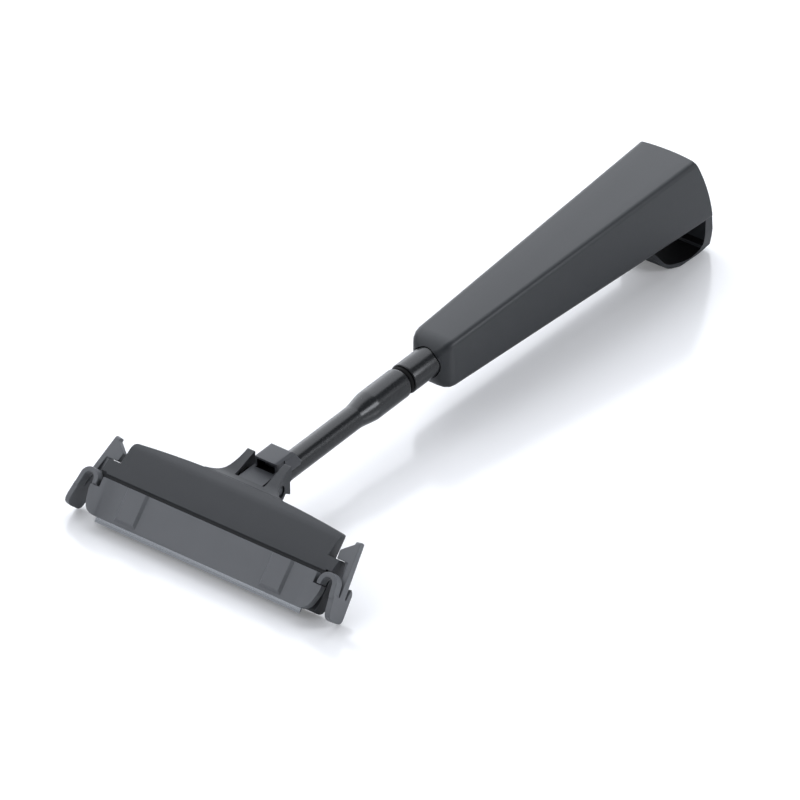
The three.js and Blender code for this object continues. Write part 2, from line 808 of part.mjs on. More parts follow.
function bodySlab() {
  const profile = outline([
    [-bodyHeelReach, -bodyHeelDepth, bodyHeelRadius],
    [-bodyHeelReach + gap, -bodySeatDepth, bodyHeelRadius],
    [bodyStepReach, -bodySeatDepth],
    [bodyStepReach, -bodyStepDepth, gap],
    [bodyBendReach, -bodyBendDepth, bodyCornerRadius],
    [bodyRearReach, -bodyRearDepth, bodyRearRadius],
    [bodyBackReach, -bodyBackDepth, bodyCornerRadius],
  ]);
  const slab = acrossX(profile, -bodyLugWidth / 2, bodyLugWidth / 2);
  const wide = bodyLugWidth / 2;
  const narrow = bodyWidth / 2;
  const waist = bodyWaistWidth / 2;
  const rear = bodyRearReach - bodyBow;
  const plan = new THREE.Shape();
  plan.moveTo(-wide + bodyHeelCorner * halfShare, -bodyHeelReach - overrun);
  plan.lineTo(wide - bodyHeelCorner * halfShare, -bodyHeelReach - overrun);
  plan.lineTo(wide - bodyHeelCorner * halfShare, -bodyHeelReach);
  plan.quadraticCurveTo(wide, -bodyHeelReach, wide, -bodyHeelReach + bodyHeelCorner);
  plan.lineTo(wide, bodyLugTop - gap);
  plan.lineTo(wide - gap, bodyLugTop);
  plan.lineTo(waist, bodyLugTop);
  plan.lineTo(narrow, rear - bodyCornerRadius);
  plan.quadraticCurveTo(narrow, rear, narrow - bodyCornerRadius, rear + gap);
  plan.quadraticCurveTo(narrow * halfShare, bodyRearReach, 0, bodyRearReach);
  plan.quadraticCurveTo(-narrow * halfShare, bodyRearReach, -narrow + bodyCornerRadius, rear + gap);
  plan.quadraticCurveTo(-narrow, rear, -narrow, rear - bodyCornerRadius);
  plan.lineTo(-waist, bodyLugTop);
  plan.lineTo(-wide + gap, bodyLugTop);
  plan.lineTo(-wide, bodyLugTop - gap);
  plan.lineTo(-wide, -bodyHeelReach + bodyHeelCorner);
  plan.quadraticCurveTo(-wide, -bodyHeelReach, -wide + bodyHeelCorner * halfShare, -bodyHeelReach);
  const form = acrossZ(plan, -bodyBackDepth - overrun, overrun, 6);
  let slabForm = slab.intersect(form);
  for (const side of [-1, 1]) {
    const peg = rodZ(pegDiameter / 2, -bodySeatDepth - overrun * halfShare, -plateThickness * halfShare,
      side * pegSpacing / 2, -pegPlace);
    slabForm = slabForm.add(peg).subtract(springRoom(side)).subtract(endSlope(side));
  }
  return clipPlaced(slabForm);
}

// Room in the body's shoulder for the top of a spring loop.
function springRoom(side) {
  const inner = springPlace - springRadius - springThickness / 2 - gap;
  const outer = bodyLugWidth / 2 + gap;
  const from = side > 0 ? inner : -outer;
  const to = side > 0 ? outer : -inner;
  return block(from, to, -overrun, springTop + gap, springFront - springDepth - gap, overrun);
}

// What is cut off above a lug, where the end of the body slopes in towards its back.
function endSlope(side) {
  const front = bodyLugWidth / 2 - bodyFrontInset;
  const back = bodyLugWidth / 2 - bodyBackInset;
  const shape = outline([
    [side * back, -bodyBackDepth - overrun],
    [side * back, -bodyBackDepth],
    [side * front, -bodyStepDepth],
    [side * (front + overrun), -bodyStepDepth],
    [side * (front + overrun), -bodyBackDepth - overrun],
  ]);
  return acrossY(shape, bodyLugTop, bodyRearReach + overrun);
}

// Fork: two ears on a flared root, in the level frame of the hinge pin.
function fork() {
  const outer = forkWidth / 2;
  const inner = forkSlotWidth / 2;
  const root = rootReach();
  const ear = outline([
    [-root, -forkBottom],
    [forkRear * forkFootFrontShare, -forkBottom],
    [forkRear * forkNotchShare, -forkBottom * forkNotchRiseShare],
    [forkRear * forkFootRearShare, -forkBottom],
    [forkRear - forkStepDepth, -forkBottom],
    [forkRear - forkStepDepth, forkStepHeight],
    [forkRear, forkStepHeight + forkStepDepth * halfShare],
    [forkRear, forkTop, bodyRearRadius],
    [-forkDipPlace, forkDipTop, forkDipPlace * halfShare],
    [-root, forkTop * forkRootHeightShare],
  ]);
  const plan = new THREE.Shape();
  const rootHalf = forkRootWidth / 2;
  const back = -root - overrun * halfShare;
  const corner = -root - bodyBow * (forkRootWidth / bodyWidth) ** 2;
  plan.moveTo(-rootHalf, back);
  plan.lineTo(rootHalf, back);
  plan.lineTo(rootHalf, corner);
  plan.quadraticCurveTo(outer, corner, outer, forkRear);
  plan.lineTo(outer, forkRear + overrun);
  plan.lineTo(-outer, forkRear + overrun);
  plan.lineTo(-outer, forkRear);
  plan.quadraticCurveTo(-outer, corner, -rootHalf, corner);
  const flare = acrossZ(plan, -overrun * 2, overrun * 2, 12);
  const ears = acrossX(ear, -rootHalf, rootHalf).intersect(flare);
  const rootProfile = outline([
    [back, -forkBottom],
    [0, -forkBottom],
    [0, forkDipTop],
    [-forkDipPlace, forkDipTop, forkDipPlace * halfShare],
    [-root, forkTop * forkRootHeightShare],
    [back, forkStepHeight],
  ]);
  const rootBlock = acrossX(rootProfile, -rootHalf, rootHalf).intersect(flare);
  const whole = ears.add(rootBlock);
  const slot = rodX(knuckleRadius + gap, -inner, inner, 0, 0, fineSegments)
    .add(block(-inner, inner, -hingeOffset, forkRear + overrun, -overrun * 2, overrun * 2))
    .add(block(-inner, inner, -forkSlotFront, 0, 0, overrun * 2));
  const reach = rootHalf + gap;
  const seat = outer - hingeRecessDepth;
  const recesses = rodX(hingeRecessDiameter / 2, -reach, -seat, 0, 0)
    .add(rodX(hingeRecessDiameter / 2, seat, reach, 0, 0));
  const pinHole = rodX(hingePinDiameter / 2 + pinGap, -reach, reach, 0, 0);
  const solid = whole.subtract(slot).subtract(recesses).subtract(pinHole);
  const point = hingePoint();
  return solid.translate(point.x, point.y, point.z);
}

// How far in front of the hinge pin the fork's root meets the rear edge of the head body.
function rootReach() {
  const edge = new THREE.Vector3(0, bodyRearReach, -bodyRearDepth).applyMatrix4(clipMatrix());
  return hingePoint().y - edge.y;
}

function headBody() {
  return bodySlab().add(fork());
}

function blade() {
  const middle = -(bodySeatDepth + plateThickness) / 2;
  const front = middle + bladeThickness / 2;
  const back = middle - bladeThickness / 2;
  const profile = outline([
    [-bladeReach, middle],
    [-bladeReach + bladeBevel, back],
    [-bladeHeel, back],
    [-bladeHeel, front],
    [-bladeReach + bladeBevel, front],
  ]);
  const strip = acrossX(profile, -bladeWidth / 2, bladeWidth / 2);
  return strip.subtract(pegHoles(-bodySeatDepth, -plateThickness));
}

function pegHoles(fromZ, toZ) {
  const radius = pegDiameter / 2 + gap;
  const place = pegSpacing / 2;
  return rodZ(radius, fromZ - gap, toZ + gap, -place, -pegPlace)
    .add(rodZ(radius, fromZ - gap, toZ + gap, place, -pegPlace));
}

// Clip plate: raised ribs and end panels on a flat front, with a slot beside each spring.
function clipPlate() {
  const wide = plateWidth / 2;
  const inner = notchPlace - notchWidth / 2;
  const low = wide - plateCornerInset;
  const ear = -notchDepth - springThickness - gap;
  const sheet = outline([
    [-low, -plateLength, plateCornerRadius],
    [low, -plateLength, plateCornerRadius],
    [wide, ear, plateSideRadius],
    [wide, -notchDepth],
    [inner, -notchDepth],
    [inner, 0, gap],
    [-inner, 0, gap],
    [-inner, -notchDepth],
    [-wide, -notchDepth],
    [-wide, ear, plateSideRadius],
  ]);
  const flat = acrossZ(sheet, -plateThickness, 0);
  const raised = acrossZ(sheet, -plateThickness * halfShare, reliefHeight);
  const ribs = joined([
    raisedBand(-ribOuter, -ribInner, reliefHeight),
    raisedBand(ribInner, ribOuter, reliefHeight),
  ]);
  const ribSide = outline([
    [-plateLength, -plateThickness],
    [-plateLength + ribFoot, 0],
    [-plateLength + ribFoot + ribFootRun, reliefHeight],
    [overrun, reliefHeight],
    [overrun, -plateThickness],
  ]);
  const bands = [
    raisedBand(-wide - overrun, -endPanelInner, endPanelSlope),
    ribs.intersect(acrossX(ribSide, -wide, wide)),
    raisedBand(endPanelInner, wide + overrun, endPanelSlope),
  ];
  const recess = pegHoles(-plateThickness, -plateThickness * halfShare);
  return flat.add(raised.intersect(joined(bands))).subtract(recess);
}

// A band across the plate whose sides slope in towards its raised face.
function raisedBand(fromX, toX, slope) {
  const shape = outline([
    [fromX - slope, -plateThickness],
    [toX + slope, -plateThickness],
    [toX + slope, 0],
    [toX, reliefHeight],
    [fromX, reliefHeight],
    [fromX - slope, 0],
  ]);
  return acrossY(shape, -plateLength - overrun, overrun);
}

// Spring loop: an arch of strip from the end of the plate over to the lever's shoulder.
function springLoop(side) {
  const outer = springRadius + springThickness / 2;
  const inner = springRadius - springThickness / 2;
  const centre = springTop - outer;
  const foot = -notchDepth + gap;
  const legEnd = -leverShoulderReach + gap;
  const spread = (centre - legEnd) * Math.tan(radians(leverLeanDegrees));
  const shape = new THREE.Shape();
  shape.moveTo(springPlace - outer, foot);
  shape.lineTo(springPlace - outer, centre);
  shape.absarc(springPlace, centre, outer, Math.PI, 0, true);
  shape.lineTo(springPlace + outer + spread, legEnd);
  shape.lineTo(springPlace + inner + spread, legEnd);
  shape.lineTo(springPlace + inner, centre);
  shape.absarc(springPlace, centre, inner, 0, Math.PI, false);
  shape.lineTo(springPlace - inner, foot);
  shape.closePath();
  const loop = acrossZ(shape, springFront - springDepth, springFront, 8);
  return side > 0 ? loop : loop.mirror([1, 0, 0]);
}

// Lever: a plate on edge beside the head, with a foot pad, a tail and a catch over the body's lug.
// It is drawn upright in its own frame, centred on the pivot, then leans in at the tail.
function lever(side) {
  const pivot = leverPivotReach;
  const front = springFront - springDepth - gap;
  const profile = outline([
    [pivot + leverTailReach, -leverTailDepth, leverCornerRadius],
    [pivot + leverTailReach, -leverTailDepth - leverTailThickness, leverCornerRadius],
    [pivot + leverWaistReach, -leverWaistDepth],
    [pivot - leverSlitReach, -leverSlitDepth],
    [pivot - leverSlitReach, -leverSlitDepth - leverSlitWidth],
    [pivot - leverLipReach, -leverLipDepth, leverCornerRadius * halfShare],
    [pivot - leverBulgeReach, -leverBulgeDepth, leverCornerRadius],
    [pivot - leverFootReach, -leverFootDepth, leverFootRadius],
    [pivot - leverFootReach, leverFrontRise, leverFrontRadius],
    [pivot - leverShoulderReach, leverFrontRise],
    [pivot - leverShoulderReach, front],
  ]);
  const plate = acrossX(profile, -leverThickness / 2, leverThickness / 2);
  const inner = catchInner - leverPivotPlace + lean(pivot + catchReach);
  const catchShape = outline([
    [0, pivot + catchReach],
    [0, pivot + catchRootReach],
    [-leverThickness / 2, pivot + catchRootReach],
    [inner, pivot + catchTopReach, leverCornerRadius * halfShare],
    [inner, pivot + catchReach + lean(-inner)],
  ]);
  const catchTop = -leverTailDepth;
  const wide = acrossX(profile, inner - gap, leverThickness / 2);
  const catchSolid = acrossZ(catchShape, catchTop - catchHeight, catchTop + catchRise).intersect(wide);
  const pad = block(
    -leverThickness / 2 - leverPadThickness, 0,
    pivot + leverPadReach, pivot + catchReach + gap,
    catchTop - catchHeight, -leverPadDepth,
  ).intersect(wide);
  const upright = geometryOf(plate.add(catchSolid).add(pad));
  upright.rotateZ(radians(leverLeanDegrees));
  const right = solidOf(upright);
  return side > 0 ? right : right.mirror([1, 0, 0]);
}

function lean(reach) {
  return reach * Math.tan(radians(leverLeanDegrees));
}

// Assembly

const scraper = new THREE.Group();

const handle = new THREE.Group();
handle.add(part('handle_shell', handleShell(), 'handlePlastic'));
handle.add(part('handle_base', handleBase(), 'handlePlastic'));
handle.add(part('base_screw_front', baseScrew(screwFrontPlace), 'pinSteel'));
handle.add(part('base_screw_rear', baseScrew(screwRearPlace), 'pinSteel'));
handle.add(part('socket_pin', socketPin(), 'pinSteel'));
scraper.add(handle);

const neck = new THREE.Group();
neck.applyMatrix4(neckMatrix());
neck.add(part('socket_tube', socketTube(), 'neckPlastic'));
neck.add(part('neck_tube', neckTube(), 'neckPlastic'));
neck.add(part('seal_ring', sealRing(), 'rubber'));
neck.add(part('knuckle', knuckle(), 'knucklePlastic'));
neck.add(part('knuckle_pin', knucklePin(), 'pinSteel'));
scraper.add(neck);

const hinge = new THREE.Group();
hinge.position.copy(hingePoint());
hinge.add(part('hinge_pin', hingePin(), 'pinSteel'));
hinge.add(part('friction_washer_left', frictionWasher(-1), 'rubber'));
hinge.add(part('friction_washer_right', frictionWasher(1), 'rubber'));
scraper.add(hinge);

scraper.add(part('head_body', headBody(), 'headPlastic'));

const clip = new THREE.Group();
clip.applyMatrix4(clipMatrix());
clip.add(part('blade', blade(), 'bladeSteel'));
clip.add(part('clip_plate', clipPlate(), 'clipPlastic'));
for (const [name, side] of [['left', -1], ['right', 1]]) {
  clip.add(part(`spring_loop_${name}`, springLoop(side), 'clipPlastic'));
  const mesh = part(`lever_${name}`, lever(side), 'clipPlastic');
  mesh.position.set(side * leverPivotPlace, -leverPivotReach, 0);
  clip.add(mesh);
}
scraper.add(clip);

// The origin is on the surface, under the middle of the tool.
scraper.updateMatrixWorld(true);
const bounds = new THREE.Box3().setFromObject(scraper, true);
scraper.position.set(0, -(bounds.min.y + bounds.max.y) / 2, -bounds.min.z);

export default scraper;
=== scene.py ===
import math

import bmesh
import bpy
from mathutils import Matrix, Vector
from mathutils.bvhtree import BVHTree


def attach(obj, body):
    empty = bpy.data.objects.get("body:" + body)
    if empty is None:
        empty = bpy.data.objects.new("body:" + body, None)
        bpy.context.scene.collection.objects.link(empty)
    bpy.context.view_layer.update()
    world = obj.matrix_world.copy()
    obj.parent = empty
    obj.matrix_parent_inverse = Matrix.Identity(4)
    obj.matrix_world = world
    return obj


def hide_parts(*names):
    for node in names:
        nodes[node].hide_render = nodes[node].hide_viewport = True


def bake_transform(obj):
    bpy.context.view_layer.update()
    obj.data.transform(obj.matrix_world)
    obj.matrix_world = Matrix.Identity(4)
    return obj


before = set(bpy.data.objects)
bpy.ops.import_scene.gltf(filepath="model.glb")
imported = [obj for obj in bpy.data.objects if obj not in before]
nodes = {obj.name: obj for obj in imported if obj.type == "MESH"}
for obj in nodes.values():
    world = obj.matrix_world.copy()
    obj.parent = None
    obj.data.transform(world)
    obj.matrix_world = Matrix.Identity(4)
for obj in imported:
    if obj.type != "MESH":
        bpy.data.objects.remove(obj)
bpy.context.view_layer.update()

MM = 0.001
UP = Vector((0, 0, 1))


# Helpers

def linear(hex_colour):
    """An sRGB hex value as the linear colour that the shaders take."""
    channels = [int(hex_colour[i:i + 2], 16) / 255 for i in (1, 3, 5)]
    turned = [c / 12.92 if c <= 0.04045 else ((c + 0.055) / 1.055) ** 2.4 for c in channels]
    return (*turned, 1.0)


def add(tree, kind, settings=None, **links):
    """Adds a node, with its settings, and its inputs as values or as sockets to link.
    An input is given by its name, or by its number after an underscore."""
    node = tree.nodes.new(kind)
    for key, value in (settings or {}).items():
        setattr(node, key, value)
    for key, value in links.items():
        name = key.replace("_", " ")
        socket = node.inputs[int(key[1:])] if key[1:].isdigit() else node.inputs[name]
        if isinstance(value, bpy.types.NodeSocket):
            tree.links.new(value, socket)
        else:
            socket.default_value = value
    return node


def new_material(name):
    made = bpy.data.materials.new(name)
    made.use_nodes = True
    made.node_tree.nodes.clear()
    return made, made.node_tree


def aim(obj, place, target):
    obj.location = place
    direction = Vector(target) - Vector(place)
    obj.rotation_euler = direction.to_track_quat("-Z", "Y").to_euler()


def placed(name, mesh):
    obj = bpy.data.objects.new(name, mesh)
    bpy.context.scene.collection.objects.link(obj)
    return obj


# Places

# The frame has its origin in the middle of the tool. Lengths along the tool are measured from
# the front of the handle, and the handle's far end in the frame says where that is.
HANDLE_REACH = 142.8 * MM
handle_end = max(vert.co.y for vert in nodes["handle_shell"].data.vertices)
SHIFT = handle_end - HANDLE_REACH

# The neck's axis: it rises towards the back, and meets the front of the handle at this height.
NECK_RISE = math.radians(3.3)
NECK_HEIGHT = 21.8 * MM
neck_frame = Matrix.Translation((0, SHIFT, NECK_HEIGHT)) @ Matrix.Rotation(NECK_RISE, 4, "X")

# The clip plate's own plane, with X along the plate and Y up its slope.
CLIP_PLACE = -121.6 * MM
CLIP_HEIGHT = 15.3 * MM
CLIP_SLOPE = math.radians(49.3)
clip_origin = Matrix.Translation((0, SHIFT + CLIP_PLACE, CLIP_HEIGHT))
clip_frame = clip_origin @ Matrix.Rotation(CLIP_SLOPE, 4, "X")


# Camera

# The camera was fitted to the picture by least squares: 38.3 degrees to the right of straight
# ahead, 32.6 degrees down, 2.6 m away, with a long lens.
CAMERA_AZIMUTH = math.radians(38.3)
CAMERA_TILT = math.radians(32.621)
CAMERA_DISTANCE = 2.6
CAMERA_SIDE = -12.945 * MM
CAMERA_ALONG = -4.167 * MM
CAMERA_FOCAL_PIXELS = 7576.054
CAMERA_NEAR = 0.05
CAMERA_FAR = 60.0
PICTURE_WIDTH = 800
SENSOR_WIDTH = 36.0

camera_target = Vector((CAMERA_SIDE, SHIFT + CAMERA_ALONG, 0))
towards_camera = Vector((
    math.cos(CAMERA_TILT) * math.sin(CAMERA_AZIMUTH),
    -math.cos(CAMERA_TILT) * math.cos(CAMERA_AZIMUTH),
    math.sin(CAMERA_TILT),
))
camera_data = bpy.data.cameras.new("camera")
camera_data.sensor_fit = "HORIZONTAL"
camera_data.sensor_width = SENSOR_WIDTH
camera_data.lens = CAMERA_FOCAL_PIXELS / PICTURE_WIDTH * SENSOR_WIDTH
camera_data.clip_start = CAMERA_NEAR
camera_data.clip_end = CAMERA_FAR
camera = placed("camera", camera_data)
aim(camera, camera_target + towards_camera * CAMERA_DISTANCE, camera_target)
bpy.context.scene.camera = camera


# Materials

MOTTLE_SIZE = 9 * MM
MOTTLE_SHARE = 0.06
PLASTIC_IOR = 1.5
PLASTIC_SMOOTHER = 0.05
PLASTIC_ROUGHER = 0.07
GRAIN_STRENGTH = 0.35
GRINDING_RUN = 12 * MM
GRINDING_DEPTH = 0.01 * MM
GRINDING_STRENGTH = 0.25
METAL_SMOOTHER = 0.08
METAL_ROUGHER = 0.12


def moulded(name, colour, roughness, grain, depth, specular=0.5):
    """A moulded plastic: body colour with a faint mottle, and a fine eroded grain from the mould.
    Grain width and depth are in millimetres."""
    made, tree = new_material(name)
    place = add(tree, "ShaderNodeTexCoord").outputs["Object"]
    cloud = add(tree, "ShaderNodeTexNoise", Vector=place, Scale=1 / MOTTLE_SIZE, Detail=3.0)
    surface = add(tree, "ShaderNodeTexNoise", Vector=place, Scale=1 / (grain * MM), Detail=2.0)
    base = Vector(linear(colour)[:3])
    tones = add(tree, "ShaderNodeMix", {"data_type": "RGBA"}, _0=cloud.outputs["Fac"],
                _6=(*(base * (1 - MOTTLE_SHARE)), 1), _7=(*(base * (1 + MOTTLE_SHARE)), 1))
    sheen = add(tree, "ShaderNodeMapRange", _0=surface.outputs["Fac"],
                _3=roughness - PLASTIC_SMOOTHER, _4=roughness + PLASTIC_ROUGHER)
    bump = add(tree, "ShaderNodeBump", _0=GRAIN_STRENGTH, _1=depth * MM, Height=surface.outputs["Fac"])
    shader = add(tree, "ShaderNodeBsdfPrincipled", Base_Color=tones.outputs[2],
                 Roughness=sheen.outputs[0], Normal=bump.outputs["Normal"], IOR=PLASTIC_IOR)
    shader.inputs["Specular IOR Level"].default_value = specular
    out = add(tree, "ShaderNodeOutputMaterial")
    tree.links.new(shader.outputs[0], out.inputs["Surface"])
    return made


def metal(name, colour, roughness, line):
    """A steel with fine parallel lines along X from its grinding. Line width is in millimetres."""
    made, tree = new_material(name)
    place = add(tree, "ShaderNodeTexCoord").outputs["Object"]
    across = 1 / (line * MM)
    mapping = add(tree, "ShaderNodeMapping", Vector=place, Scale=(1 / GRINDING_RUN, across, across))
    lines = add(tree, "ShaderNodeTexNoise", Vector=mapping.outputs[0], Scale=1.0, Detail=3.0)
    sheen = add(tree, "ShaderNodeMapRange", _0=lines.outputs["Fac"],
                _3=roughness - METAL_SMOOTHER, _4=roughness + METAL_ROUGHER)
    bump = add(tree, "ShaderNodeBump", _0=GRINDING_STRENGTH, _1=GRINDING_DEPTH,
               Height=lines.outputs["Fac"])
    shader = add(tree, "ShaderNodeBsdfPrincipled", Base_Color=linear(colour), Metallic=1.0,
                 Roughness=sheen.outputs[0], Normal=bump.outputs["Normal"])
    out = add(tree, "ShaderNodeOutputMaterial")
    tree.links.new(shader.outputs[0], out.inputs["Surface"])
    return made


# A mould's eroded grain is near 0.1 mm wide, and grinding lines near 0.02 mm. Both are drawn
# coarser, as wide as the picture needs to show them.

# ABS from an eroded mould: a dark, even grey with a broad satin sheen on every flat.
handle_abs = moulded("satin_abs", "#282b2e", roughness=0.42, grain=0.5, depth=0.02)
# Painted shade: the same ABS deep inside the hollows, where little light comes, coloured nearly black
# and without sheen.
painted_shade_abs = moulded("abs_painted_shade", "#0d0d0e", roughness=0.7, grain=0.6, depth=0.02,
                     specular=0.1)
# Glass-filled nylon, moulded: the fibres at the surface make it matt, with a coarser grain.
head_nylon = moulded("glass_filled_nylon", "#35373a", roughness=0.5, grain=0.6, depth=0.03,
                     specular=0.4)
# Acetal, moulded: a paler, slightly waxy grey, so the clip stands off from the head.
clip_acetal = moulded("grey_acetal", "#6a6c6f", roughness=0.45, grain=0.5, depth=0.02)
# Unfilled nylon, moulded: smoother than the head and a little paler.
knuckle_nylon = moulded("grey_nylon", "#3f4145", roughness=0.5, grain=0.5, depth=0.02)
# Polypropylene from a polished mould: nearly black, with sharp reflections along the neck.
neck_gloss = moulded("gloss_polypropylene", "#1c1e20", roughness=0.24, grain=0.8, depth=0.006)
# Nitrile rubber, moulded: the blackest part, with no sheen, so the ring reads as a dark line.
seal_rubber = moulded("nitrile_rubber", "#070708", roughness=0.75, grain=0.4, depth=0.02,
                      specular=0.2)
# Stainless strip, ground: a bright edge with fine lines along the blade.
blade_steel = metal("ground_stainless_strip", "#a3a6aa", roughness=0.22, line=0.08)
# Zinc-plated steel, drawn: a dull mid grey on pins and screws.
pin_steel = metal("zinc_plated_steel", "#55575a", roughness=0.4, line=0.1)


# Pieces

MERGE_DISTANCE = 0.002 * MM
FLAT_ANGLE = math.radians(0.6)
EDGE_ANGLE = math.radians(28)
EDGE_SEGMENTS = 2
LOOK_START = 0.2 * MM


def dressed(node, material):
    """A CAD node that stays, with its finish."""
    obj = nodes[node]
    obj.data.materials.clear()
    obj.data.materials.append(material)
    return obj


def mark_sharp(work, angle):
    for face in work.faces:
        face.smooth = True
    for edge in work.edges:
        edge.smooth = len(edge.link_faces) == 2 and edge.calc_face_angle(0) < angle


def round_edges(obj, width):
    bevel = obj.modifiers.new("round_edges", "BEVEL")
    bevel.width = width * MM
    bevel.segments = EDGE_SEGMENTS
    bevel.limit_method = "ANGLE"
    bevel.angle_limit = EDGE_ANGLE
    bevel.harden_normals = True
    bevel.miter_outer = "MITER_ARC"


def stands_for(obj, body, slot, *replaced):
    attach(obj, body)
    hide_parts(*replaced)
    return obj


def eased(name, node, body, slot, material, edge, hollow=None):
    """A finer copy of a CAD node: doubles merged, flat faces joined, and its sharp edges rounded
    by this many millimetres. Faces under cover that look into a hollow get painted shade, a second,
    near-black material."""
    mesh = nodes[node].data.copy()
    mesh.name = name
    work = bmesh.new()
    work.from_mesh(mesh)
    bmesh.ops.remove_doubles(work, verts=work.verts, dist=MERGE_DISTANCE)
    bmesh.ops.dissolve_limit(work, angle_limit=FLAT_ANGLE, verts=work.verts, edges=work.edges)
    mark_sharp(work, EDGE_ANGLE)
    mesh.materials.clear()
    mesh.materials.append(material)
    for face in work.faces:
        face.material_index = 0
    # Painted shade: faces under cover that look into a hollow take the near-black material.
    if hollow:
        painted_shade, walls, reach = hollow
        mesh.materials.append(painted_shade)
        for face in work.faces:
            start = face.calc_center_median_weighted() + face.normal * LOOK_START
            faces_wall = walls.ray_cast(start, face.normal, reach)[0]
            if faces_wall and walls.ray_cast(start, UP, reach)[0]:
                face.material_index = 1
    work.to_mesh(mesh)
    work.free()
    obj = placed(name, mesh)
    if edge > 0:
        round_edges(obj, edge)
    return stands_for(obj, body, slot, node)


def walls_of(*names):
    """The surfaces of some CAD nodes, for asking what a face looks at."""
    work = bmesh.new()
    for name in names:
        work.from_mesh(nodes[name].data)
    tree = BVHTree.FromBMesh(work)
    work.free()
    return tree


# Grown pieces: geometry nodes for what is turned

GROWN_SHARP = math.radians(35)
TURNED_SEGMENTS = 96
CORNER_POINTS = 5
FINE_STEPS = 220
END_STEPS = 2
END_SHARE = 0.5          # the share of its rounding that the neck's radius loses at the rear end


def new_tree(name, sizes):
    """A geometry node tree with one named input for each size."""
    tree = bpy.data.node_groups.new(name, "GeometryNodeTree")
    tree.interface.new_socket("Geometry", in_out="OUTPUT", socket_type="NodeSocketGeometry")
    for label in sizes:
        kind = "NodeSocketInt" if label == "Segments" else "NodeSocketFloat"
        tree.interface.new_socket(label, in_out="INPUT", socket_type=kind)
    tree.interface.new_socket("Finish", in_out="INPUT", socket_type="NodeSocketMaterial")
    return tree, tree.nodes.new("NodeGroupInput")


def close_tree(tree, source, geometry):
    smooth = add(tree, "GeometryNodeSetShadeSmooth", Geometry=geometry)
    plain = add(tree, "GeometryNodeRealizeInstances", Geometry=smooth.outputs[0])
    finish = add(tree, "GeometryNodeSetMaterial", Geometry=plain.outputs[0],
                 Material=source.outputs["Finish"])
    out = tree.nodes.new("NodeGroupOutput")
    tree.links.new(finish.outputs[0], out.inputs[0])
    return tree


def math_node(tree, operation, first, second):
    return add(tree, "ShaderNodeMath", {"operation": operation}, _0=first, _1=second).outputs[0]


def mean_of(tree, first, second):
    return math_node(tree, "MULTIPLY", math_node(tree, "ADD", first, second), 0.5)


def ring_tree():
    """A turned ring about Z: a rectangle with rounded corners, led round a circle."""
    sizes = ("Inner Radius", "Outer Radius", "Width", "Rounding", "Segments")
    tree, source = new_tree("turned_ring", sizes)
    get = source.outputs
    middle = mean_of(tree, get["Inner Radius"], get["Outer Radius"])
    wall = math_node(tree, "SUBTRACT", get["Outer Radius"], get["Inner Radius"])
    path = add(tree, "GeometryNodeCurvePrimitiveCircle", Resolution=get["Segments"], Radius=middle)
    section = add(tree, "GeometryNodeCurvePrimitiveQuadrilateral", _0=wall, _1=get["Width"])
    soft = add(tree, "GeometryNodeFilletCurve", {"mode": "POLY"}, Curve=section.outputs[0],
               Count=CORNER_POINTS, Radius=get["Rounding"], Limit_Radius=True)
    ring = add(tree, "GeometryNodeCurveToMesh", Curve=path.outputs[0], Profile_Curve=soft.outputs[0])
    return close_tree(tree, source, ring.outputs[0])


